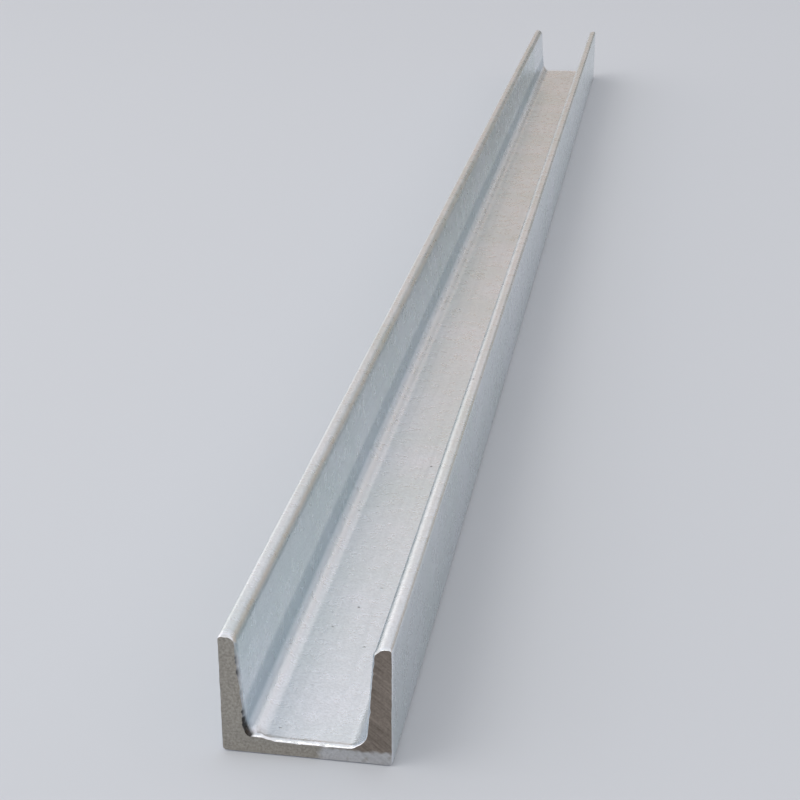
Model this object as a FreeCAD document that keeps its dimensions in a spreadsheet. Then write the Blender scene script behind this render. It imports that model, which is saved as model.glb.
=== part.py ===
"""Hot-rolled steel channel section, 50 x 38 x 5 mm, as one stock length.

The bar is one piece of rolled stock: a flat web with a flange along each edge. The flanges are flat and
square to the web outside. Inside they taper, thick at the web and thin at the toe, so that the rolls can
let go of the bar. A large radius joins each flange to the web, and the toes and heels are rounded off.

The bar lies on the back of its web with the open side up. The origin is at the middle of that back,
+X goes across the section, +Y along the bar, and +Z up towards the toes of the flanges.
"""

import FreeCAD
import Part
import Sketcher
import os

# Driving dimensions: name, value and meaning. All are millimetres, apart from the taper, a plain ratio.
SIZES = [
    ("section_depth", 50.0, "across the section, over the outsides of the two flanges"),
    ("flange_width", 38.0, "height of a flange, from the back of the web to the toe"),
    ("web_thickness", 5.0, "thickness of the web"),
    ("flange_thickness", 7.0, "thickness of a flange at the gauge line, halfway up its width"),
    ("flange_taper", 0.08, "slope of a flange's inner face"),
    ("root_radius", 5.5, "radius inside, between the web and a flange"),
    ("toe_radius", 3.5, "radius on the inner edge of a toe"),
    ("toe_edge_radius", 1.5, "radius on the outer edge of a toe"),
    ("heel_radius", 1.5, "radius outside, between the web and a flange"),
    ("stock_length", 1000.0, "length that the bar is cut to"),
]

NODE = "channel_section"
SAME_PLACE = 0.01


def add_sizes(doc):
    """The sheet of driving dimensions, one to a row."""
    sheet = doc.addObject("Spreadsheet::Sheet", "Sizes")
    for row, (name, value, meaning) in enumerate(SIZES, start=1):
        sheet.set(f"A{row}", name)
        sheet.set(f"B{row}", str(value))
        sheet.setAlias(f"B{row}", name)
        sheet.set(f"C{row}", meaning)
    doc.recompute()
    return sheet


def section_corners(sheet):
    """The sharp corners of the section by name, as (across, up), before any radius is put on."""
    side = sheet.section_depth / 2
    top = sheet.flange_width
    gauge = top / 2
    toe = side - sheet.flange_thickness + sheet.flange_taper * (top - gauge)
    root = side - sheet.flange_thickness - sheet.flange_taper * (gauge - sheet.web_thickness)
    corners = {}
    for hand, sign in (("left", -1), ("right", 1)):
        corners[hand + "_heel"] = (sign * side, 0)
        corners[hand + "_toe_outer"] = (sign * side, top)
        corners[hand + "_toe_inner"] = (sign * toe, top)
        corners[hand + "_root"] = (sign * root, sheet.web_thickness)
    return corners


# The outline's lines in order round the section, each with the corner that it starts from.
OUTLINE = [
    ("back", "left_heel"),
    ("right_outside", "right_heel"),
    ("right_toe", "right_toe_outer"),
    ("right_inside", "right_toe_inner"),
    ("web_inside", "right_root"),
    ("left_inside", "left_root"),
    ("left_toe", "left_toe_inner"),
    ("left_outside", "left_toe_outer"),
]
START, END = 1, 2
SKETCH_ORIGIN = (-1, 1)


def draw_outline(sketch, corners):
    """Draws the closed outline and returns the number of each line by name."""
    lines = {}
    for index, (name, corner) in enumerate(OUTLINE):
        next_corner = OUTLINE[(index + 1) % len(OUTLINE)][1]
        start = FreeCAD.Vector(*corners[corner])
        end = FreeCAD.Vector(*corners[next_corner])
        lines[name] = sketch.addGeometry(Part.LineSegment(start, end), False)
    names = [name for name, _ in OUTLINE]
    for name, following in zip(names, names[1:] + names[:1]):
        sketch.addConstraint(Sketcher.Constraint("Coincident", lines[name], END, lines[following], START))
    for name in ("back", "web_inside", "right_toe", "left_toe"):
        sketch.addConstraint(Sketcher.Constraint("Horizontal", lines[name]))
    for name in ("right_outside", "left_outside"):
        sketch.addConstraint(Sketcher.Constraint("Vertical", lines[name]))
    sketch.addConstraint(
        Sketcher.Constraint("Symmetric", lines["back"], START, lines["back"], END, *SKETCH_ORIGIN)
    )
    sketch.addConstraint(Sketcher.Constraint("Equal", lines["right_outside"], lines["left_outside"]))
    sketch.addConstraint(Sketcher.Constraint("Equal", lines["right_toe"], lines["left_toe"]))
    return lines


def draw_gauge_line(sketch, sheet, lines, hand, sign):
    """A construction line across one flange, where its thickness is measured, and its number."""
    height = sheet.flange_width / 2
    outside = sheet.section_depth / 2
    inside = outside - sheet.flange_thickness
    segment = Part.LineSegment(
        FreeCAD.Vector(sign * outside, height), FreeCAD.Vector(sign * inside, height)
    )
    gauge = sketch.addGeometry(segment, True)
    sketch.addConstraint(Sketcher.Constraint("Horizontal", gauge))
    sketch.addConstraint(Sketcher.Constraint("PointOnObject", gauge, START, lines[hand + "_outside"]))
    sketch.addConstraint(Sketcher.Constraint("PointOnObject", gauge, END, lines[hand + "_inside"]))
    return gauge


def add_dimension(sketch, name, constraint, expression):
    """Puts a named dimension on the sketch and ties it to the sheet."""
    number = sketch.addConstraint(constraint)
    sketch.renameConstraint(number, name)
    sketch.setExpression(f"Constraints.{name}", expression)


def draw_section(body, sheet):
    """The section with sharp corners, in the plane across the bar, with every size tied to the sheet."""
    sketch = body.newObject("Sketcher::SketchObject", "section_outline")
    across = next(plane for plane in body.Origin.OriginFeatures if plane.Role == "XZ_Plane")
    sketch.AttachmentSupport = [(across, "")]
    sketch.MapMode = "FlatFace"

    lines = draw_outline(sketch, section_corners(sheet))
    back, outside, toe = lines["back"], lines["right_outside"], lines["right_toe"]
    depth = Sketcher.Constraint("DistanceX", back, START, back, END, sheet.section_depth)
    add_dimension(sketch, "depth", depth, "Sizes.section_depth")
    width = Sketcher.Constraint("DistanceY", outside, START, outside, END, sheet.flange_width)
    add_dimension(sketch, "width", width, "Sizes.flange_width")
    web = Sketcher.Constraint("DistanceY", back, END, lines["web_inside"], START, sheet.web_thickness)
    add_dimension(sketch, "web", web, "Sizes.web_thickness")

    for hand, sign in (("right", 1), ("left", -1)):
        gauge = draw_gauge_line(sketch, sheet, lines, hand, sign)
        thickness = Sketcher.Constraint("Distance", gauge, sheet.flange_thickness)
        add_dimension(sketch, hand + "_flange", thickness, "Sizes.flange_thickness")
        outside_line = lines[hand + "_outside"]
        heel = START if hand == "right" else END
        halfway = sheet.flange_width / 2
        height = Sketcher.Constraint("DistanceY", outside_line, heel, gauge, START, halfway)
        add_dimension(sketch, hand + "_gauge", height, "Sizes.flange_width / 2")
    thin = sheet.flange_thickness - sheet.flange_taper * sheet.flange_width / 2
    toe_flat = Sketcher.Constraint("DistanceX", toe, END, toe, START, thin)
    add_dimension(
        sketch, "toe", toe_flat, "Sizes.flange_thickness - Sizes.flange_taper * Sizes.flange_width / 2"
    )
    return sketch


def roll_bar(body, sketch):
    """The section carried along the bar, half of the length to each side of the origin."""
    bar = body.newObject("PartDesign::Pad", "rolled_bar")
    bar.Profile = sketch
    bar.SideType = "Symmetric"
    bar.setExpression("Length", "Sizes.stock_length")
    return bar


def edges_at(feature, places):
    """The names of the straight edges along the bar that pass through these (across, up) places."""
    names = []
    for number, edge in enumerate(feature.Shape.Edges, start=1):
        first, last = edge.Vertexes[0].Point, edge.Vertexes[-1].Point
        along_bar = abs(first.x - last.x) < SAME_PLACE and abs(first.z - last.z) < SAME_PLACE
        at_place = any(abs(first.x - x) < SAME_PLACE and abs(first.z - z) < SAME_PLACE for x, z in places)
        if along_bar and at_place:
            names.append(f"Edge{number}")
    if len(names) != len(places):
        raise RuntimeError(f"{feature.Name}: {len(names)} edges found at {places}")
    return names


def round_edges(doc, body, base, name, places, size):
    """One radius along the bar on the edges at these places."""
    doc.recompute()
    fillet = body.newObject("PartDesign::Fillet", name)
    fillet.Base = (base, edges_at(base, places))
    fillet.setExpression("Radius", f"Sizes.{size}")
    return fillet


def check(doc, shape):
    """Stops the build if a feature failed, or if the bar isn't one sound solid."""
    failed = [o.Label for o in doc.Objects if {"Invalid", "Error"} & set(o.State)]
    if failed:
        raise RuntimeError(f"these features failed: {failed}")
    if shape.isNull() or not shape.isValid() or len(shape.Solids) != 1:
        raise RuntimeError("the bar isn't one valid solid")


def main():
    doc = FreeCAD.newDocument("channel")
    sheet = add_sizes(doc)
    body = doc.addObject("PartDesign::Body", "Channel")
    body.Label = NODE

    feature = roll_bar(body, draw_section(body, sheet))
    corners = section_corners(sheet)
    for name, corner, size in (
        ("root_fillets", "_root", "root_radius"),
        ("toe_fillets", "_toe_inner", "toe_radius"),
        ("toe_edges", "_toe_outer", "toe_edge_radius"),
        ("heel_edges", "_heel", "heel_radius"),
    ):
        places = [corners[hand + corner] for hand in ("left", "right")]
        feature = round_edges(doc, body, feature, name, places, size)
    doc.recompute()
    check(doc, body.Shape)

    os.makedirs("parts", exist_ok=True)
    body.Shape.exportStep(f"parts/{body.Label}.step")
    area = body.Shape.Volume / sheet.stock_length
    box = body.Shape.BoundBox
    print(f"{body.Label}: {box.XLength:.2f} x {box.YLength:.2f} x {box.ZLength:.2f} mm")
    print(f"section area {area:.1f} mm2, {body.Shape.Volume / 1e6:.4f} litres")


main()
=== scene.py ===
# %% [markdown]
# A hot-rolled, hot-dip galvanised steel channel, 50 x 38 x 5 mm and 1 m long.
#
# The real bar is one piece of steel, squeezed to its shape between rolls while it was red hot, cut to
# length, and then dipped in molten zinc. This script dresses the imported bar: it builds a finer skin in
# exactly the same place, with the small unevenness that rolling, cutting and dipping leave behind, and
# gives it the look of zinc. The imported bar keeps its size, so the skin never leaves its box.

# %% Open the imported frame
import math
import random

import bmesh
import bpy
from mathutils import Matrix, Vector, noise


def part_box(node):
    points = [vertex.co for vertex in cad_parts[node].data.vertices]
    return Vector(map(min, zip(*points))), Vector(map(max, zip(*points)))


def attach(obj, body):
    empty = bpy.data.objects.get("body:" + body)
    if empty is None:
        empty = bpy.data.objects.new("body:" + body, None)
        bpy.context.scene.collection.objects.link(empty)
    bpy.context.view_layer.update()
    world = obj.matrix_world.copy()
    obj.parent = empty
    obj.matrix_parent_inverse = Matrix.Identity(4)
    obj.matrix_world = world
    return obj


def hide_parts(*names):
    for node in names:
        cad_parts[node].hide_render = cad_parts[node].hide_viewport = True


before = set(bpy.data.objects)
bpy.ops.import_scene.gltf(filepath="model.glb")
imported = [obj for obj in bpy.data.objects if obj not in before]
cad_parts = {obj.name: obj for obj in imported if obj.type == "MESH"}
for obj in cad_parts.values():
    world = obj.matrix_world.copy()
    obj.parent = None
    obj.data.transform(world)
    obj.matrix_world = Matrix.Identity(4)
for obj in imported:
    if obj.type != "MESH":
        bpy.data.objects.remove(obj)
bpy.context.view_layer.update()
low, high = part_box("channel_section")
print("The packed bar runs from", tuple(low), "to", tuple(high), "in metres.")

# %% [markdown]
# The sizes of the section come first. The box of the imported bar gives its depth, height and length. The
# thicknesses and radii repeat the section that the bar was drawn to. Blender works in metres, so
# millimetres are written as a number times MM, which keeps them easy to read.

# %% Sizes of the section
MM = 0.001
SIDE = high.x
TOP = high.z
HALF_LENGTH = high.y
WEB = 5.0 * MM
FLANGE = 7.0 * MM
TAPER = 0.08
ROOT_RADIUS = 5.5 * MM
TOE_RADIUS = 3.5 * MM
TOE_EDGE_RADIUS = 1.5 * MM
HEEL_RADIUS = 1.5 * MM

# The flange has its thickness halfway up. From there its inner face leans out by the taper.
taper_angle = math.atan(TAPER)
toe_x = SIDE - FLANGE + TAPER * TOP / 2
root_x = SIDE - FLANGE - TAPER * (TOP / 2 - WEB)
print(f"The gap inside is {2 * root_x / MM:.1f} mm wide at the web and {2 * toe_x / MM:.1f} mm at the toes.")

# %% [markdown]
# The section could be drawn as a curve with bevelled corners, but then nothing would know which point lies
# on the web and which on a toe. Here it is walked point by point, from the middle of the web to the middle
# of a toe, once along the outside and once along the inside. Each point also keeps the direction that its
# surface faces, because the unevenness of the zinc is added along that direction.
#
# Two helpers do the walking, one along a line and one round a corner.

# %% Walk a line and an arc
def straight(start, end, facing, steps):
    """Points of a flat stretch, without its first one, each with the direction that it faces."""
    points = []
    for step in range(1, steps + 1):
        share = step / steps
        x = start[0] + (end[0] - start[0]) * share
        z = start[1] + (end[1] - start[1]) * share
        points.append((x, z, facing[0], facing[1]))
    return points


def arc(centre, radius, first, last, steps, hollow=False):
    """Points of a rounded corner, without its first one. A hollow corner faces its own centre."""
    points = []
    for step in range(1, steps + 1):
        angle = first + (last - first) * step / steps
        across, up = math.cos(angle), math.sin(angle)
        sign = -1 if hollow else 1
        points.append((centre[0] + radius * across, centre[1] + radius * up, sign * across, sign * up))
    return points


print("A line of two steps:", straight((0, 0), (1, 0), (0, 1), 2))

# %% [markdown]
# Both walks take the same number of steps. That pairs each point outside with one inside, and the cut end
# can later be filled with a neat grid of four-sided faces between the pairs.
#
# The inner face of a flange leans, so it doesn't meet the web and the toe at a right angle. A rounded corner
# between them starts at a distance from the sharp corner that is a little less than its radius at the root
# and at the toe alike. That share of the radius is called the reach of the corner.

# %% Walk the section
ARC_STEPS = {"root": 12, "toe": 10}
STRAIGHT_STEPS = {"web": 18, "flange": 34}

reach = 1 / math.tan(math.pi / 4 + taper_angle / 2)
# The flat of the toe runs between these two x values. Both walks end at its middle.
toe_flat = (toe_x + reach * TOE_RADIUS, SIDE - TOE_EDGE_RADIUS)
toe_middle = (sum(toe_flat) / 2, TOP)
# The direction that the inner face of the right flange faces.
inward = (-math.cos(taper_angle), math.sin(taper_angle))

root_centre = (root_x - reach * ROOT_RADIUS, WEB + ROOT_RADIUS)
face_foot = (root_centre[0] + ROOT_RADIUS * math.cos(taper_angle),
             root_centre[1] - ROOT_RADIUS * math.sin(taper_angle))
toe_centre = (toe_x + reach * TOE_RADIUS, TOP - TOE_RADIUS)
face_head = (toe_centre[0] + TOE_RADIUS * inward[0], toe_centre[1] + TOE_RADIUS * inward[1])

inside = [(0, WEB, 0, 1)]
inside += straight((0, WEB), (root_centre[0], WEB), (0, 1), STRAIGHT_STEPS["web"])
inside += arc(root_centre, ROOT_RADIUS, -math.pi / 2, -taper_angle, ARC_STEPS["root"], hollow=True)
inside += straight(face_foot, face_head, inward, STRAIGHT_STEPS["flange"])
inside += arc(toe_centre, TOE_RADIUS, math.pi - taper_angle, math.pi / 2, ARC_STEPS["toe"])
inside += straight((toe_flat[0], TOP), toe_middle, (0, 1), 1)

heel_centre = (SIDE - HEEL_RADIUS, HEEL_RADIUS)
edge_centre = (SIDE - TOE_EDGE_RADIUS, TOP - TOE_EDGE_RADIUS)
outside = [(0, 0, 0, -1)]
outside += straight((0, 0), (heel_centre[0], 0), (0, -1), STRAIGHT_STEPS["web"])
outside += arc(heel_centre, HEEL_RADIUS, -math.pi / 2, 0, ARC_STEPS["root"])
outside += straight((SIDE, HEEL_RADIUS), (SIDE, edge_centre[1]), (1, 0), STRAIGHT_STEPS["flange"])
outside += arc(edge_centre, TOE_EDGE_RADIUS, 0, math.pi / 2, ARC_STEPS["toe"])
outside += straight((toe_flat[1], TOP), toe_middle, (0, 1), 1)


def both_hands(half):
    """A walk from the left toe over the web to the right toe, made from its right half."""
    left = [(-x, z, -across, up) for x, z, across, up in reversed(half[1:])]
    return left + half


outer_walk = both_hands(outside)
inner_walk = both_hands(inside)
last_pair = len(outer_walk) - 1
outline = outer_walk + inner_walk[-2:0:-1]
print(f"The outline has {len(outline)} points in {last_pair - 1} pairs.")

# %% [markdown]
# Next come the places along the bar where the outline is repeated. Both ends need fine steps, because the
# zinc rounds the cut edge to a soft lip and the cut leaves nicks there. In between, the bar only waves
# gently, and wider steps keep the mesh light. A growing step does both: each one is a few percent longer
# than the last, up to a longest one.
#
# The lip is a quarter of an ellipse, longer along the bar than it is deep, and deepest inside the trough.

# %% Places along the bar
LIP_LENGTH = 1.0 * MM
LIP_DEPTH = 0.30 * MM
OUTER_LIP_DEPTH = 0.22 * MM
LIP_STEPS = 6
FIRST_STEP = 0.42 * MM
STEP_GROWTH = 1.06
LONGEST_STEP = 4.4 * MM


def stations_of_half():
    """Distances from a cut end to the middle of the bar, beyond the rounded lip."""
    distances, step = [LIP_LENGTH], FIRST_STEP
    while distances[-1] + step < HALF_LENGTH:
        distances.append(distances[-1] + step)
        step = min(step * STEP_GROWTH, LONGEST_STEP)
    return distances


# Each station is its distance from the nearer cut end, and what share of its depth the lip is drawn in.
lip_stations = []
for step in range(LIP_STEPS):
    turn = math.pi / 2 * step / LIP_STEPS
    lip_stations.append((LIP_LENGTH * (1 - math.cos(turn)), 1 - math.sin(turn)))
half_stations = lip_stations + [(distance, 0.0) for distance in stations_of_half()]
stations = [(-HALF_LENGTH + distance, share) for distance, share in half_stations]
stations += [(HALF_LENGTH - distance, share) for distance, share in reversed(half_stations)]
print(f"{len(stations)} stations, with {2 * (len(stations) - 1) * len(outline)} triangles between them.")

# %% [markdown]
# Rolled and dipped steel is never quite flat. Rolls leave long, shallow waves, and the zinc runs along the
# bar as it is pulled out of the bath, so its ridges are far longer than they are wide. Smooth noise gives
# both: the point is divided by one size across the bar and by a larger one along it, which stretches the
# pattern. The heights are hundredths of a millimetre. A mirror-like metal shows them all the same,
# because they bend what it reflects.
#
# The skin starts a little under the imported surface, by as much as the noise may lift it, so that it stays
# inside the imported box.

# %% Unevenness of the rolled and dipped surface
SKIN_DEPTH = 0.12 * MM
WAVES = (
    # Height, size across and size along, all in millimetres: rolling waves, zinc runs, zinc lumps.
    (0.050, 16.0, 90.0),
    (0.012, 3.5, 50.0),
    (0.020, 7.0, 12.0),
)
# Each wave takes its noise from a place of its own, so that no two of them have the same pattern.
WAVE_OFFSET = 17.3


def unevenness(x, y, z):
    """How far the surface stands above or below its mean there, in metres."""
    height = 0.0
    for number, (lift, across, along) in enumerate(WAVES):
        place = Vector((x / (across * MM), y / (along * MM) + WAVE_OFFSET * number, z / (across * MM)))
        height += lift * MM * noise.noise(place)
    return max(-SKIN_DEPTH, min(SKIN_DEPTH, height))


sample = [unevenness(0.0, step * MM, WEB) / MM for step in range(-400, 400)]
print(f"Along the web the surface moves between {min(sample):.3f} and {max(sample):.3f} mm.")

# %% [markdown]
# A sheared or sawn end isn't clean. The blade tears small nicks out of the edge, and the zinc gathers on
# every sharp edge in a soft bead that is thicker in some places than in others. In the front left root the
# cut has torn a hollow, deep at the web and thin up the flange, and a lump of zinc sits beside it. All of
# these lift or sink the skin close to the cut. One list describes the large marks, a loop puts scars along
# the inner edge of the left flange, and a seeded random choice adds small nicks, so that the two ends
# differ and yet come out the same each time.

# %% Lumps, scars and nicks at the cut ends
MARKS = [
    # End (-1 is the front), across, up, reach along the edge, reach along the bar, height, in millimetres.
    (-1, -15.5, 6.7, 1.2, 1.6, -0.90),
    (-1, -16.3, 8.2, 1.5, 2.2, -1.30),
    (-1, -16.9, 9.8, 1.3, 1.6, -0.95),
    (-1, -17.4, 11.5, 1.1, 1.2, -0.75),
    (-1, -17.6, 13.2, 0.9, 0.9, -0.50),
    (-1, -13.7, 5.3, 1.7, 2.4, 1.20),
    (-1, -10.6, 5.1, 2.4, 1.7, 0.45),
    (-1, -18.4, 26.4, 0.9, 0.8, -0.60),
    (-1, -18.7, 29.6, 0.7, 0.7, -0.50),
    (-1, 14.8, 6.4, 1.8, 1.2, 0.30),
    (1, 16.4, 8.0, 1.8, 1.3, -0.90),
    (1, 12.0, 5.0, 2.4, 1.4, 0.40),
    (1, -17.6, 14.0, 1.1, 0.9, -0.45),
]
# The sizes of the scars and the small nicks are in millimetres too.
SCAR_HEIGHTS = range(15, 35, 2)
SCAR_REACH, SCAR_LENGTH = 1.3, 0.6
SCAR_DEPTH = (0.10, 0.50)
SMALL_NICKS = 14
SMALL_NICK_REACH = (0.5, 1.1)
SMALL_NICK_DEPTH = (0.12, 0.38)

chance = random.Random(11)
for end in (-1, 1):
    for height in SCAR_HEIGHTS:
        face_x = root_x / MM + TAPER * (height - WEB / MM)
        MARKS.append((end, -face_x, height, SCAR_REACH, SCAR_LENGTH, -chance.uniform(*SCAR_DEPTH)))
    for _ in range(SMALL_NICKS):
        x, z = chance.choice(inner_walk)[:2]
        size, depth = chance.uniform(*SMALL_NICK_REACH), chance.uniform(*SMALL_NICK_DEPTH)
        MARKS.append((end, x / MM, z / MM, size, size, -depth))
print(f"{len(MARKS)} marks on the two cut ends.")

# %% [markdown]
# Two functions turn the marks, the bead and the raggedness of the cut into how far a point is lifted. Each
# mark is a soft hill or hollow that fades along the edge and along the bar. Noise roughens it, because torn
# steel isn't smooth. The bead lies only inside the trough: outside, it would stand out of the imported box.

# %% How far the skin is lifted near a cut
BEAD_HEIGHT = 0.22 * MM
BEAD_REACH = 0.8 * MM
RAGGED_DEPTH = 0.12 * MM
RAGGED_GRAIN = 1.6 * MM
RAGGED_REACH = 1.6 * MM
# The raggedness is read at plus and minus this place in the noise, so the two ends differ.
RAGGED_OFFSET = 5.0
TORN_GRAIN = 1.5 * MM
TORN_MEAN, TORN_SWING = 0.85, 0.7
# Noise swings about zero, mostly by less than a half. Adding this makes nearly all of it positive.
NOISE_SHIFT = 0.5


def mark_lift(x, y, z):
    """How far the marks of the nearer cut end lift or sink the skin, in metres."""
    end = -1 if y < 0 else 1
    distance = (HALF_LENGTH - abs(y)) / MM
    lift = 0.0
    for mark_end, across, up, edge_reach, bar_reach, height in MARKS:
        if mark_end == end:
            aside = math.hypot(x / MM - across, z / MM - up) / edge_reach
            lift += height * MM * math.exp(-aside ** 2 - (distance / bar_reach) ** 2)
    torn = noise.noise(Vector((x / TORN_GRAIN, y / TORN_GRAIN, z / TORN_GRAIN)))
    return lift * (TORN_MEAN + TORN_SWING * torn)


def bead_lift(x, y, z, in_trough):
    """The zinc bead inside the trough and the ragged line of the cut all round, in metres."""
    distance = HALF_LENGTH - abs(y)
    wander = noise.noise(Vector((x / RAGGED_GRAIN, math.copysign(RAGGED_OFFSET, y), z / RAGGED_GRAIN)))
    lift = -RAGGED_DEPTH * (NOISE_SHIFT + wander) * math.exp(-(distance / RAGGED_REACH) ** 2)
    if in_trough:
        lift += BEAD_HEIGHT * (1 + wander) * math.exp(-((distance - LIP_LENGTH) / BEAD_REACH) ** 2)
    return lift


def faces_trough(x, z, across):
    """True for a point on the inside of the section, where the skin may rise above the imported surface."""
    return abs(x) < toe_x and z > WEB / 2 and across * x <= 0


middle_lift = bead_lift(0.0, HALF_LENGTH - LIP_LENGTH, WEB, True)
print(f"Beside the back cut, the middle of the web is lifted by {middle_lift / MM:.2f} mm.")

# %% [markdown]
# The skin also tells the zinc how to colour each place. Each vertex stores three numbers for that.
# The first is a painted highlight, high on the lip at a cut end, on the lumps and in the roots.
# The second is painted shade, high in the nicks, in the scars and in the torn hollow. The third is
# painted shade too, darker and bluer, high in a band along the foot of each flange inside. The bands
# along the roots and the feet depend only on the height, so two functions give them.

# %% Bands along the root and the foot of a flange
FOOT_LOW, FOOT_HIGH, FOOT_FADE = 8.7 * MM, 16.5 * MM, 2.0 * MM
ROOT_FADE = 0.8 * MM


def foot_share(z):
    """1 in the band of painted shade along the foot of a flange, falling to 0 above and below it."""
    return max(0.0, min(1.0, (z - FOOT_LOW) / FOOT_FADE + 0.5, (FOOT_HIGH - z) / FOOT_FADE + 0.5))


def root_share(z):
    """1 along a root's painted highlight, fading softly into the web below and the painted shade above."""
    return max(0.0, min(1.0, (z - WEB) / ROOT_FADE, (FOOT_LOW - z) / FOOT_FADE + 0.5))


# The band along the foot of each flange is painted shade, darker and bluer than the zinc around it.
print("The dull band lies between", FOOT_LOW / MM, "and", FOOT_HIGH / MM, "mm above the floor.")

# %% [markdown]
# Now the skin itself. Each station gets a ring of vertices, and neighbouring rings are joined by four-sided
# faces. A loft from a curve would give the same net, but writing the vertices one by one lets each of them
# take its own unevenness and its three numbers.

# %% Build the skin of the bar
# How far from the cut the marks and the bead are worked out. Beyond it they are too small to see.
END_ZONE = 9 * MM
HIGHLIGHT_REACH = 2.0 * MM
HIGHLIGHT_PATCH = 4.5 * MM
HIGHLIGHT_MEAN = 0.6
ROOT_HIGHLIGHT = 0.85
# A lump this high gets the full painted highlight, and a nick this deep the full painted shade.
SWOLLEN_HEIGHT = 0.45 * MM
SHADE_DEPTH = 0.75 * MM

mesh_builder = bmesh.new()
painted_highlight = mesh_builder.verts.layers.float.new("painted_highlight")
painted_shade = mesh_builder.verts.layers.float.new("painted_shade")
foot = mesh_builder.verts.layers.float.new("foot")


def skin_ring(y, lip_share):
    """One ring of vertices round the section at a station."""
    ring = []
    distance = HALF_LENGTH - abs(y)
    for x, z, across, up in outline:
        in_trough = faces_trough(x, z, across)
        lift = unevenness(x, y, z) - SKIN_DEPTH - lip_share * (LIP_DEPTH if in_trough else OUTER_LIP_DEPTH)
        marked = 0.0
        if distance < END_ZONE:
            marked = mark_lift(x, y, z)
            lift += marked + bead_lift(x, y, z, in_trough)
        boxed_x = max(-SIDE, min(SIDE, x + across * lift))
        boxed_z = max(0.0, min(TOP, z + up * lift))
        vertex = mesh_builder.verts.new((boxed_x, y, boxed_z))
        # The lip, the lumps and the roots inside get a painted highlight, patchy at the lip.
        patchy_highlight = HIGHLIGHT_MEAN + noise.noise(Vector((x / HIGHLIGHT_PATCH, y / HIGHLIGHT_PATCH, z / HIGHLIGHT_PATCH)))
        at_lip = max(0.0, min(1.0, patchy_highlight)) * math.exp(-(distance / HIGHLIGHT_REACH) ** 2)
        in_root = ROOT_HIGHLIGHT * root_share(z) if in_trough else 0.0
        vertex[painted_highlight] = max(at_lip, in_root, min(1.0, marked / SWOLLEN_HEIGHT))
        # The nicks, the scars and the torn hollow get painted shade, the deeper the darker.
        vertex[painted_shade] = max(0.0, min(1.0, -marked / SHADE_DEPTH))
        # Inside, the band along the foot of each flange gets painted shade.
        vertex[foot] = foot_share(z) if in_trough else 0.0
        ring.append(vertex)
    return ring


rings = [skin_ring(y, lip_share) for y, lip_share in stations]
for front, back in zip(rings, rings[1:]):
    for index in range(len(outline)):
        following = (index + 1) % len(outline)
        mesh_builder.faces.new((front[index], front[following], back[following], back[index]))
print(f"The skin has {len(mesh_builder.verts)} vertices and {len(mesh_builder.faces)} faces.")

# %% [markdown]
# The cut ends are filled with a grid between the paired points, six faces across the steel. One big face
# would be quicker, but it could only be flat, and a cut end is dished and ridged where the blade went
# through. The grid's inner points are pushed in by a tenth of a millimetre or so, most of all in the middle.

# %% Fill the cut ends
ACROSS_STEEL = 6
END_DISH = 0.08 * MM
END_RIDGES = 0.07 * MM
RIDGE_WIDTH, RIDGE_HEIGHT = 2.5 * MM, 6 * MM
RIDGE_OFFSET = 9.0
# The cut faces take the second material of the skin.
FACE_OF_CUT = 1


def cut_depth(x, z, share):
    """How deep the cut face lies at a place, from its edge (share 0 or 1) to its middle (share 0.5)."""
    dish = END_DISH * math.sin(math.pi * share)
    wander = noise.noise(Vector((x / RIDGE_WIDTH, z / RIDGE_HEIGHT, RIDGE_OFFSET)))
    ridge = END_RIDGES * (NOISE_SHIFT + wander)
    fade_to_edge = 4 * share * (1 - share)
    return dish + ridge * fade_to_edge


def bridge(row, following):
    """Joins two rows of the cut face. The first and the last row are a single point each."""
    for step in range(ACROSS_STEEL):
        corners = [row[min(step, len(row) - 1)], row[min(step + 1, len(row) - 1)],
                   following[min(step + 1, len(following) - 1)], following[min(step, len(following) - 1)]]
        unique = list(dict.fromkeys(corners))
        made = mesh_builder.faces.new(unique)
        made.material_index = FACE_OF_CUT


def fill_end(ring, end):
    """The face of one cut end, between the pairs of the ring."""
    inner_of = {pair: len(outline) - pair for pair in range(1, last_pair)}
    previous = None
    for pair in range(last_pair + 1):
        outer_vertex = ring[pair]
        inner_vertex = ring[inner_of[pair]] if pair in inner_of else outer_vertex
        row = [outer_vertex]
        if outer_vertex is not inner_vertex:
            for step in range(1, ACROSS_STEEL):
                share = step / ACROSS_STEEL
                place = outer_vertex.co.lerp(inner_vertex.co, share)
                place.y -= end * cut_depth(place.x, place.z, share)
                row.append(mesh_builder.verts.new(place))
            row.append(inner_vertex)
        if previous:
            bridge(previous, row)
        previous = row


fill_end(rings[0], -1)
fill_end(rings[-1], 1)
print(f"With its ends filled, the skin has {len(mesh_builder.faces)} faces.")

# %% [markdown]
# The faces are shaded smooth, so that the net doesn't show in the reflections. Only where the zinc of the
# bar meets the dull zinc of a cut end does the shading break, as it does at a real edge. Then the net
# becomes an object, after a look for edges that don't have exactly two faces, which would mean a gap.

# %% Make the bar from the skin
bmesh.ops.recalc_face_normals(mesh_builder, faces=mesh_builder.faces)
open_edges = [edge for edge in mesh_builder.edges if len(edge.link_faces) != 2]
for made in mesh_builder.faces:
    made.smooth = True
for edge in mesh_builder.edges:
    kinds = {made.material_index for made in edge.link_faces}
    edge.smooth = len(kinds) == 1
bar_mesh = bpy.data.meshes.new("channel_bar")
mesh_builder.to_mesh(bar_mesh)
mesh_builder.free()
bar = bpy.data.objects.new("channel_bar", bar_mesh)
bpy.context.scene.collection.objects.link(bar)
print(f"The closed bar has {len(bar_mesh.polygons)} faces and {len(open_edges)} open edges.")

# %% [markdown]
# Materials are networks of nodes. One helper adds a node, sets its values and joins its inputs to earlier
# nodes. Colours are written as the sRGB hex values that a picture shows, and a second helper turns them to
# the linear numbers that the renderer adds up.

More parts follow.
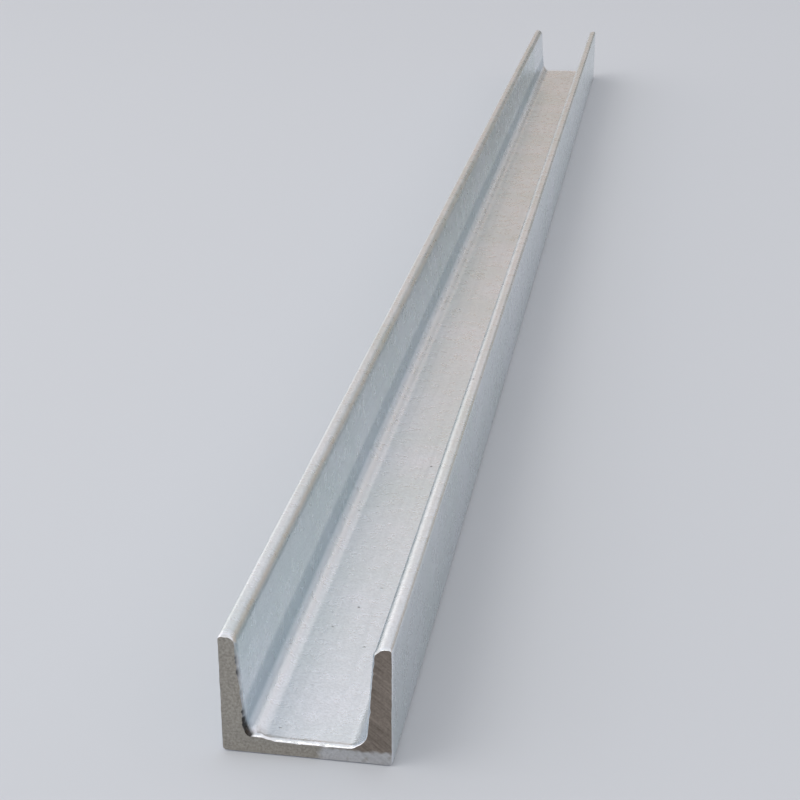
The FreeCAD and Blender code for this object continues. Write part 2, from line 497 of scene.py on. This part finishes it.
# %% Helpers for materials
def linear(hex_colour):
    """An sRGB colour such as "#c8ccce" as linear red, green, blue and alpha."""
    channels = [int(hex_colour[place:place + 2], 16) / 255 for place in (1, 3, 5)]
    turned = [c / 12.92 if c <= 0.04045 else ((c + 0.055) / 1.055) ** 2.4 for c in channels]
    return (*turned, 1.0)


def add_node(tree, kind, inputs=None, **settings):
    """Adds a node. Each input takes a plain value, or the output of another node."""
    made = tree.nodes.new(kind)
    for name, value in settings.items():
        setattr(made, name, value)
    for name, value in (inputs or {}).items():
        if isinstance(value, bpy.types.NodeSocket):
            tree.links.new(value, made.inputs[name])
        else:
            made.inputs[name].default_value = value
    return made


# A colour mix node has many sockets of the same name, so its colour sockets are picked by their number.
COLOUR_A, COLOUR_B, COLOUR_OUT = 6, 7, 2
print("#808080 is", round(linear("#808080")[0], 3), "in linear light.")

# %% [markdown]
# Hot-dip galvanised zinc, satin. Steel is dipped in molten zinc at 450 degrees, and the zinc freezes on it
# in fine crystals. Fresh from the bath it is a bright, slightly blue-white metal. It isn't a mirror,
# because the crystals make a fine orange-peel grain about a millimetre across, so it gives soft, broad
# reflections and sparkles faintly. Where the zinc ran off, it left faint streaks along the bar.
#
# The patterns come first. A picture of zinc could be laid on, but it would show its repeats along a metre of
# bar, and noise has none. The scale of each noise is one over the real size of what it stands for. The
# streaks come from a place that is squeezed along the bar, which stretches the noise.

# %% Noises for the zinc
GRAIN = 0.75 * MM
LUMP = 5.5 * MM
PATCH = 45 * MM
STREAK_WIDTH = 1.8 * MM
STREAK_LENGTH = 110 * MM

zinc_material = bpy.data.materials.new("hot_dip_galvanised_zinc")
zinc_material.use_nodes = True
zinc = zinc_material.node_tree
zinc.nodes.clear()
zinc_place = add_node(zinc, "ShaderNodeTexCoord").outputs["Object"]
grain = add_node(zinc, "ShaderNodeTexNoise",
                 {"Vector": zinc_place, "Scale": 1 / GRAIN, "Detail": 2.0, "Roughness": 0.6})
lumps = add_node(zinc, "ShaderNodeTexNoise", {"Vector": zinc_place, "Scale": 1 / LUMP, "Detail": 2.0})
patches = add_node(zinc, "ShaderNodeTexNoise", {"Vector": zinc_place, "Scale": 1 / PATCH, "Detail": 3.0})
streak_scale = (1 / STREAK_WIDTH, 1 / STREAK_LENGTH, 1 / STREAK_WIDTH)
squeezed = add_node(zinc, "ShaderNodeMapping", {"Vector": zinc_place, "Scale": streak_scale})
streaks = add_node(zinc, "ShaderNodeTexNoise",
                   {"Vector": squeezed.outputs["Vector"], "Scale": 1.0, "Detail": 2.0})
print("Zinc grain is", GRAIN / MM, "mm across, and its streaks are", STREAK_LENGTH / MM, "mm long.")

# %% [markdown]
# Here and there the zinc has a pinhole, or a pimple of dross from the bath. There are too many of them to
# model one by one, and most are smaller than a face of the skin. A cell noise places them instead: a spot
# sits at the middle of some cells, as a pinhole where the cell's random colour is low in red, and as a pimple
# where it is high.

# %% Pinholes and pimples
SPOT_SPACING = 7 * MM
# A spot begins this far from the middle of its cell, as a share of the cell, and is full at a third of that.
SPOT_SIZE = 0.08
PIT_SHARE = 0.16
PIMPLE_SHARE = 0.35

cells = add_node(zinc, "ShaderNodeTexVoronoi", {"Vector": zinc_place, "Scale": 1 / SPOT_SPACING})
cell_colour = add_node(zinc, "ShaderNodeSeparateColor", {"Color": cells.outputs["Color"]})
spot = add_node(zinc, "ShaderNodeMapRange",
                {"Value": cells.outputs["Distance"], "From Min": SPOT_SIZE, "From Max": SPOT_SIZE / 3})
low_red = add_node(zinc, "ShaderNodeMath",
                   {0: cell_colour.outputs["Red"], 1: PIT_SHARE}, operation="LESS_THAN")
high_red = add_node(zinc, "ShaderNodeMath",
                    {0: cell_colour.outputs["Red"], 1: 1 - PIMPLE_SHARE}, operation="GREATER_THAN")
pits = add_node(zinc, "ShaderNodeMath",
                {0: spot.outputs["Result"], 1: low_red.outputs["Value"]}, operation="MULTIPLY")
pimples = add_node(zinc, "ShaderNodeMath",
                   {0: spot.outputs["Result"], 1: high_red.outputs["Value"]}, operation="MULTIPLY")
print(f"{PIT_SHARE:.0%} of the cells hold a pinhole and {PIMPLE_SHARE:.0%} hold a pimple.")

# %% [markdown]
# The colour is built in layers, each laid over those before it by its own share. Wide patches and narrow
# streaks shift the tone a little, and the grain breaks it up. In the roots, on the lips and on the lumps
# the colour is lightened as a painted highlight, and above the roots it is darkened and blued as painted
# shade in a band along the foot of each flange. The pinholes are nearly black with ash, and the nicks take
# the same colour as painted shade. The last three layers read the numbers that the skin stores. It is a
# metal, so its base colour is what it reflects.

# %% Colour of the zinc
ZINC_MID = "#dfe8e9"
ZINC_BRIGHT = "#e9eef3"
ZINC_DULL = "#c9d1d5"
# Painted shade, darker and bluer, for the band along the foot of each flange inside.
FOOT_SHADE = "#9fb0bb"
# Painted highlight for the lip at each cut end, the lumps and the roots.
ZINC_HIGHLIGHT = "#f3f6fb"
# Nearly black: ash in the pinholes, and painted shade in the nicks.
ASH_AND_SHADE = "#484644"
STREAK_STRENGTH = 0.35
GRAIN_STRENGTH = 0.4
FOOT_SHADE_STRENGTH = 0.6
# A noise lies mostly between 0.3 and 0.7. A layer begins at its first value and is full at its second.
PATCH_FROM, PATCH_TO = 0.35, 0.65
STREAK_FROM, STREAK_TO = 0.5, 0.8
GRAIN_FROM, GRAIN_TO = 0.38, 0.62

patch_tone = add_node(zinc, "ShaderNodeMapRange",
                      {"Value": patches.outputs["Fac"], "From Min": PATCH_FROM, "From Max": PATCH_TO})
streak_tone = add_node(zinc, "ShaderNodeMapRange",
                       {"Value": streaks.outputs["Fac"], "From Min": STREAK_FROM, "From Max": STREAK_TO,
                        "To Max": STREAK_STRENGTH})
grain_tone = add_node(zinc, "ShaderNodeMapRange",
                      {"Value": grain.outputs["Fac"], "From Min": GRAIN_FROM, "From Max": GRAIN_TO,
                       "To Max": GRAIN_STRENGTH})
foot_shade_here = add_node(zinc, "ShaderNodeAttribute", attribute_name="foot")
foot_shade_tone = add_node(zinc, "ShaderNodeMath",
                     {0: foot_shade_here.outputs["Fac"], 1: FOOT_SHADE_STRENGTH}, operation="MULTIPLY")
painted_highlight_here = add_node(zinc, "ShaderNodeAttribute", attribute_name="painted_highlight")
painted_shade_here = add_node(zinc, "ShaderNodeAttribute", attribute_name="painted_shade")
ash_and_shade_tone = add_node(zinc, "ShaderNodeMath",
                    {0: pits.outputs["Value"], 1: painted_shade_here.outputs["Fac"]}, operation="MAXIMUM")
zinc_layers = (
    (patch_tone.outputs["Result"], ZINC_BRIGHT),
    (streak_tone.outputs["Result"], ZINC_DULL),
    (grain_tone.outputs["Result"], ZINC_DULL),
    # The band along the foot of each flange takes painted shade.
    (foot_shade_tone.outputs["Value"], FOOT_SHADE),
    # The lip, the lumps and the roots take a painted highlight.
    (painted_highlight_here.outputs["Fac"], ZINC_HIGHLIGHT),
    # Ash in the pinholes, and painted shade in the nicks.
    (ash_and_shade_tone.outputs["Value"], ASH_AND_SHADE),
)
zinc_colour = linear(ZINC_MID)
for layer_share, layer_colour in zinc_layers:
    layered = add_node(zinc, "ShaderNodeMix",
                       {0: layer_share, COLOUR_A: zinc_colour, COLOUR_B: linear(layer_colour)},
                       data_type="RGBA")
    zinc_colour = layered.outputs[COLOUR_OUT]
print(len(zinc_layers), "layers lie over the middle tone of the zinc.")

# %% [markdown]
# Two bumps bend the reflections: soft lumps, and over them the fine grain with its spots. Both are about a
# tenth of a millimetre high, and the grain is too fine for the mesh. Where the lumps are high, the zinc is
# also a little rougher. Metallic is 1 and the IOR stays as it is, as for every metal.

# %% Relief and shader of the zinc
# A spot stands this many times as high as the grain.
SPOT_HEIGHT = 1.4
LUMP_BUMP = 0.07 * MM
GRAIN_BUMP = 0.11 * MM
LUMP_FROM, LUMP_TO = 0.3, 0.7
SMOOTHEST, ROUGHEST = 0.25, 0.33

up_or_down = add_node(zinc, "ShaderNodeMath",
                      {0: pimples.outputs["Value"], 1: pits.outputs["Value"]}, operation="SUBTRACT")
relief = add_node(zinc, "ShaderNodeMath",
                  {0: up_or_down.outputs["Value"], 1: SPOT_HEIGHT, 2: grain.outputs["Fac"]},
                  operation="MULTIPLY_ADD")
zinc_roughness = add_node(zinc, "ShaderNodeMapRange",
                          {"Value": lumps.outputs["Fac"], "From Min": LUMP_FROM, "From Max": LUMP_TO,
                           "To Min": SMOOTHEST, "To Max": ROUGHEST})
lump_bump = add_node(zinc, "ShaderNodeBump",
                     {"Height": lumps.outputs["Fac"], "Strength": 1.0, "Distance": LUMP_BUMP})
grain_bump = add_node(zinc, "ShaderNodeBump",
                      {"Height": relief.outputs["Value"], "Strength": 1.0, "Distance": GRAIN_BUMP,
                       "Normal": lump_bump.outputs["Normal"]})
zinc_shader = add_node(zinc, "ShaderNodeBsdfPrincipled",
                       {"Base Color": zinc_colour, "Metallic": 1.0,
                        "Roughness": zinc_roughness.outputs["Result"],
                        "Normal": grain_bump.outputs["Normal"]})
add_node(zinc, "ShaderNodeOutputMaterial", {"Surface": zinc_shader.outputs["BSDF"]})
bar_mesh.materials.append(zinc_material)
print("The zinc's roughness runs from", SMOOTHEST, "to", ROUGHEST)

# %% [markdown]
# Dull zinc on the sheared ends. They are galvanised too, but the blade leaves them rough. The zinc lies there
# thin and dull, and shows as a matt, slightly warm grey with a fine grain. Towards the right flange the zinc
# is thinner still. There the steel makes it darker and browner, and the drag of the blade shows as slanted
# marks. Low on the right of the web, the end is a lighter, cooler grey.
#
# The first step is to say where each part lies. The further right a place on the end is, the more it is
# dragged. It is paler where it is low and right of the middle. Noise is added to both, so that their
# borders wander.

# %% Where the end is dragged and where it is paler
# How far across the bar each part begins and where it is full, and how high the paler part reaches.
DRAG_FROM, DRAG_FULL = 4 * MM, 19 * MM
DRAG_PATCH = 9 * MM
PALE_FROM, PALE_FULL = 1 * MM, 5 * MM
PALE_TOP, PALE_FULL_BELOW = 5.5 * MM, 3.5 * MM
PALE_PATCH = 1.8 * MM
# The sum of place and noise at which each part begins and where it is full.
DRAG_SUM_FROM, DRAG_SUM_FULL = 0.55, 1.25
PALE_SUM_FROM, PALE_SUM_FULL = 0.95, 1.45

end_material = bpy.data.materials.new("dull_zinc_on_sheared_end")
end_material.use_nodes = True
cut_end = end_material.node_tree
cut_end.nodes.clear()
end_place = add_node(cut_end, "ShaderNodeTexCoord").outputs["Object"]
position = add_node(cut_end, "ShaderNodeSeparateXYZ", {"Vector": end_place})

rightness = add_node(cut_end, "ShaderNodeMapRange",
                     {"Value": position.outputs["X"], "From Min": DRAG_FROM, "From Max": DRAG_FULL})
drag_noise = add_node(cut_end, "ShaderNodeTexNoise",
                      {"Vector": end_place, "Scale": 1 / DRAG_PATCH, "Detail": 2.0})
drag_sum = add_node(cut_end, "ShaderNodeMath",
                    {0: rightness.outputs["Result"], 1: drag_noise.outputs["Fac"]}, operation="ADD")
dragged = add_node(cut_end, "ShaderNodeMapRange",
                   {"Value": drag_sum.outputs["Value"], "From Min": DRAG_SUM_FROM, "From Max": DRAG_SUM_FULL})

pale_right = add_node(cut_end, "ShaderNodeMapRange",
                        {"Value": position.outputs["X"], "From Min": PALE_FROM, "From Max": PALE_FULL})
pale_low = add_node(cut_end, "ShaderNodeMapRange",
                      {"Value": position.outputs["Z"], "From Min": PALE_TOP, "From Max": PALE_FULL_BELOW})
pale_area = add_node(cut_end, "ShaderNodeMath",
                       {0: pale_right.outputs["Result"], 1: pale_low.outputs["Result"]},
                       operation="MULTIPLY")
pale_noise = add_node(cut_end, "ShaderNodeTexNoise",
                        {"Vector": end_place, "Scale": 1 / PALE_PATCH, "Detail": 3.0})
pale_sum = add_node(cut_end, "ShaderNodeMath",
                      {0: pale_area.outputs["Value"], 1: pale_noise.outputs["Fac"]}, operation="ADD")
paler = add_node(cut_end, "ShaderNodeMapRange",
                  {"Value": pale_sum.outputs["Value"], "From Min": PALE_SUM_FROM,
                   "From Max": PALE_SUM_FULL})
print("The dragged part begins", DRAG_FROM / MM, "mm right of the middle.")

# %% [markdown]
# The texture of the end is a fine grain, with slanted marks mixed in where it is dragged. The marks are a
# noise in a turned place that is squeezed along one direction, like the streaks of the zinc. The texture
# then picks a tone between a dark and a light one, in each of the three parts.

# %% Texture and colour of the cut ends
CUT_ZINC_DARK, CUT_ZINC = "#94918a", "#bab7af"
DRAGGED_ZINC_DARK, DRAGGED_ZINC = "#736b63", "#a0978e"
PALE_ZINC_DARK, PALE_ZINC = "#b4b6b9", "#d2d4d6"
CUT_GRAIN = 0.8 * MM
DRAG_MARK = 0.7 * MM
DRAG_LENGTH = 7 * MM
DRAG_SLANT = math.radians(-40)
DRAG_STRENGTH = 0.55
TONE_FROM, TONE_TO = 0.3, 0.7

turned = add_node(cut_end, "ShaderNodeMapping", {"Vector": end_place, "Rotation": (0.0, DRAG_SLANT, 0.0)})
mark_scale = (1 / DRAG_LENGTH, 1 / DRAG_LENGTH, 1 / DRAG_MARK)
stretched = add_node(cut_end, "ShaderNodeMapping",
                     {"Vector": turned.outputs["Vector"], "Scale": mark_scale})
drag_marks = add_node(cut_end, "ShaderNodeTexNoise",
                      {"Vector": stretched.outputs["Vector"], "Scale": 1.0, "Detail": 2.0})
mark_share = add_node(cut_end, "ShaderNodeMapRange",
                      {"Value": dragged.outputs["Result"], "To Max": DRAG_STRENGTH})
cut_grain = add_node(cut_end, "ShaderNodeTexNoise",
                     {"Vector": end_place, "Scale": 1 / CUT_GRAIN, "Detail": 3.0, "Roughness": 0.65})
# A mix of plain numbers has its factor at socket 0, its two numbers at 2 and 3, and its result at 0.
texture = add_node(cut_end, "ShaderNodeMix",
                   {0: mark_share.outputs["Result"], 2: cut_grain.outputs["Fac"],
                    3: drag_marks.outputs["Fac"]}).outputs[0]
tone = add_node(cut_end, "ShaderNodeMapRange",
                {"Value": texture, "From Min": TONE_FROM, "From Max": TONE_TO}).outputs["Result"]
# The first part covers the whole end, and the others lie over it.
end_parts = (
    (1.0, CUT_ZINC_DARK, CUT_ZINC),
    (dragged.outputs["Result"], DRAGGED_ZINC_DARK, DRAGGED_ZINC),
    (paler.outputs["Result"], PALE_ZINC_DARK, PALE_ZINC),
)
end_colour = linear(CUT_ZINC)
for part_share, dark_tone, light_tone in end_parts:
    toned = add_node(cut_end, "ShaderNodeMix",
                     {0: tone, COLOUR_A: linear(dark_tone), COLOUR_B: linear(light_tone)}, data_type="RGBA")
    laid_over = add_node(cut_end, "ShaderNodeMix",
                         {0: part_share, COLOUR_A: end_colour, COLOUR_B: toned.outputs[COLOUR_OUT]},
                         data_type="RGBA")
    end_colour = laid_over.outputs[COLOUR_OUT]
print("Drag marks are", DRAG_MARK / MM, "mm apart.")

# %% [markdown]
# The same texture is the relief of the cut face, so that its dark places are also its low ones. The face is
# about twice as rough as the satin zinc, and looks matt beside it.

# %% Relief and shader of the cut ends
CUT_BUMP = 0.10 * MM
CUT_ROUGHNESS = 0.6

end_bump = add_node(cut_end, "ShaderNodeBump", {"Height": texture, "Strength": 1.0, "Distance": CUT_BUMP})
end_shader = add_node(cut_end, "ShaderNodeBsdfPrincipled",
                      {"Base Color": end_colour, "Metallic": 1.0, "Roughness": CUT_ROUGHNESS,
                       "Normal": end_bump.outputs["Normal"]})
add_node(cut_end, "ShaderNodeOutputMaterial", {"Surface": end_shader.outputs["BSDF"]})
bar_mesh.materials.append(end_material)
print("The bar has", len(bar_mesh.materials), "materials.")

# %% [markdown]
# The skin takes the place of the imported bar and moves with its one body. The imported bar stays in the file
# for the physics, but isn't shown.

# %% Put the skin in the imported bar's place
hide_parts("channel_section")
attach(bar, "root")
print("The skin stands for the packed bar.")

# %% [markdown]
# The stage is a pale, plain floor. It is large, so its edges never show, and matt, so it takes a soft
# shadow. One big face is enough for it. It is a little darker than the zinc, because the outer faces of the
# bar mirror it.

# %% Pale floor
# Half of its width, in metres.
FLOOR_HALF = 40.0
FLOOR_COLOUR = "#c5cad0"
FLOOR_ROUGHNESS = 0.8

floor_builder = bmesh.new()
floor_corners = [(-FLOOR_HALF, -FLOOR_HALF), (FLOOR_HALF, -FLOOR_HALF), (FLOOR_HALF, FLOOR_HALF),
                 (-FLOOR_HALF, FLOOR_HALF)]
floor_builder.faces.new([floor_builder.verts.new((x, y, 0.0)) for x, y in floor_corners])
floor_mesh = bpy.data.meshes.new("floor")
floor_builder.to_mesh(floor_mesh)
floor_builder.free()
floor = bpy.data.objects.new("floor", floor_mesh)
bpy.context.scene.collection.objects.link(floor)

floor_paint = bpy.data.materials.new("matt_floor_paint")
floor_paint.use_nodes = True
floor_shader = floor_paint.node_tree.nodes["Principled BSDF"]
floor_shader.inputs["Base Color"].default_value = linear(FLOOR_COLOUR)
floor_shader.inputs["Roughness"].default_value = FLOOR_ROUGHNESS
floor_mesh.materials.append(floor_paint)
print("The floor is", 2 * FLOOR_HALF, "m wide.")

# %% [markdown]
# Metal looks like what it reflects, so the light matters more here than on any other material. The photo
# was taken under an open sky, dim and warm near the horizon and nearly white higher up. The web mirrors the
# sky ahead, 34 degrees up at the near end and only 11 degrees up at the far one, so a dome that brightens
# with height gives it the fall from near-white to warm grey along the bar. The left flange mirrors the sky
# to the right, which is dimmer and bluer low down.
#
# A photographed sky could give all this, but here each height can be tuned to what the metal shows. Two
# lists hold the colours, and each becomes a colour ramp. One is read by the upward part of a direction. The
# other is a tint, read by the sideways part, and it leaves the left half of the sky as it is.

# %% Colours of the sky
SKY = (
    # The upward part of a direction, which is the sine of its angle above the horizon, and the colour.
    (0.00, "#979089"),
    (0.18, "#b6aaa2"),
    (0.28, "#d6bfab"),
    (0.37, "#cbb9ae"),
    (0.42, "#c4bebc"),
    (0.49, "#fffbff"),
    (0.57, "#f0eff8"),
    (0.80, "#e9e8e8"),
)
SIDE_TINT = (
    # The sideways part of a direction, and the tint there.
    (0.00, "#ffffff"),
    (0.12, "#a3b4be"),
    (0.18, "#aec1c8"),
    (0.23, "#c8d6da"),
    (0.32, "#f4f8f8"),
)

world = bpy.data.worlds.new("soft_studio")
bpy.context.scene.world = world
world.use_nodes = True
sky = world.node_tree
sky.nodes.clear()
direction = add_node(sky, "ShaderNodeTexCoord").outputs["Generated"]
parts = add_node(sky, "ShaderNodeSeparateXYZ", {"Vector": direction})
ramp_colours = []
for axis, stops in (("Z", SKY), ("X", SIDE_TINT)):
    ramp = add_node(sky, "ShaderNodeValToRGB", {"Fac": parts.outputs[axis]})
    elements = ramp.color_ramp.elements
    while len(elements) < len(stops):
        elements.new(1.0)
    for element, (place, colour) in zip(elements, stops):
        element.position = place
        element.color = linear(colour)
    ramp_colours.append(ramp.outputs["Color"])
by_height, by_side = ramp_colours
print(f"The sky has {len(SKY)} colours by height and {len(SIDE_TINT)} tints by side.")

# %% [markdown]
# The tint counts only low in the sky. To the left, the low sky gets a glow on top of its colour: the root of
# the left flange sees it in the right flange, and turns nearly as bright as the web.

# %% Tint to the right and glow to the left
SKY_STRENGTH = 1.06
TINT_TOP, TINT_FULL_BELOW = 0.48, 0.38
LEFT_GLOW = "#ccd0d6"
LEFT_GLOW_FROM, LEFT_GLOW_FULL = -0.22, -0.44
LEFT_GLOW_TOP, LEFT_GLOW_FULL_BELOW = 0.60, 0.45

tint_share = add_node(sky, "ShaderNodeMapRange",
                      {"Value": parts.outputs["Z"], "From Min": TINT_TOP, "From Max": TINT_FULL_BELOW})
tinted = add_node(sky, "ShaderNodeMix",
                  {0: tint_share.outputs["Result"], COLOUR_A: by_height, COLOUR_B: by_side},
                  data_type="RGBA", blend_type="MULTIPLY")
to_the_left = add_node(sky, "ShaderNodeMapRange",
                       {"Value": parts.outputs["X"], "From Min": LEFT_GLOW_FROM, "From Max": LEFT_GLOW_FULL})
low_down = add_node(sky, "ShaderNodeMapRange",
                    {"Value": parts.outputs["Z"], "From Min": LEFT_GLOW_TOP,
                     "From Max": LEFT_GLOW_FULL_BELOW})
glow_share = add_node(sky, "ShaderNodeMath",
                      {0: to_the_left.outputs["Result"], 1: low_down.outputs["Result"]},
                      operation="MULTIPLY")
glowing = add_node(sky, "ShaderNodeMix",
                   {0: glow_share.outputs["Value"], COLOUR_A: tinted.outputs[COLOUR_OUT],
                    COLOUR_B: linear(LEFT_GLOW)},
                   data_type="RGBA", blend_type="ADD")
background = add_node(sky, "ShaderNodeBackground",
                      {"Color": glowing.outputs[COLOUR_OUT], "Strength": SKY_STRENGTH})
add_node(sky, "ShaderNodeOutputWorld", {"Surface": background.outputs["Background"]})
print("The sky's strength is", SKY_STRENGTH)

# %% [markdown]
# One large softbox high up on the left gives the bar its soft shadow on the right. A lamp without size would
# make that shadow hard. The rounded lips at the cut end catch the softbox and shine.

# %% Softbox
SOFTBOX_PLACE = Vector((-1.3, -0.9, 2.2))
SOFTBOX_TARGET = Vector((0.0, -0.2, 0.0))
SOFTBOX_SIZE = 1.4
SOFTBOX_POWER = 14.0
SOFTBOX_COLOUR = "#fffaf3"

softbox_light = bpy.data.lights.new("overhead_softbox", "AREA")
softbox_light.size = SOFTBOX_SIZE
softbox_light.energy = SOFTBOX_POWER
softbox_light.color = linear(SOFTBOX_COLOUR)[:3]
softbox = bpy.data.objects.new("overhead_softbox", softbox_light)
softbox.location = SOFTBOX_PLACE
softbox.rotation_euler = (SOFTBOX_TARGET - SOFTBOX_PLACE).to_track_quat("-Z", "Y").to_euler()
bpy.context.scene.collection.objects.link(softbox)
print("The softbox hangs", round(SOFTBOX_PLACE.z, 1), "m up.")

# %% [markdown]
# The camera stands where the photographer stood, measured from the end of the bar that faces it: 91 mm to
# the right, 385 mm in front and 272 mm up, which is 13 degrees round and 34 degrees down to that end. The
# strong narrowing of the bar comes from standing this close. Only the angle of view is narrower than in
# the photo, so that the one bar fills the picture.

# %% Camera at the photo's viewing angle
CAMERA_RIGHT = 91 * MM
CAMERA_BACK = 385 * MM
CAMERA_UP = 272 * MM
AIM = Vector((-18 * MM, -230 * MM, 0.0))
# The focal length and the width of the sensor are in millimetres, as on a real camera.
LENS = 74.0
SENSOR_WIDTH = 36.0

camera_data = bpy.data.cameras.new("camera")
camera_data.lens = LENS
camera_data.sensor_width = SENSOR_WIDTH
camera = bpy.data.objects.new("camera", camera_data)
camera.location = (CAMERA_RIGHT, low.y - CAMERA_BACK, CAMERA_UP)
camera.rotation_euler = (AIM - camera.location).to_track_quat("-Z", "Y").to_euler()
bpy.context.scene.collection.objects.link(camera)
bpy.context.scene.camera = camera
bpy.context.scene.view_settings.view_transform = "Standard"
print("The camera is", round((AIM - camera.location).length, 3), "m from what it aims at.")
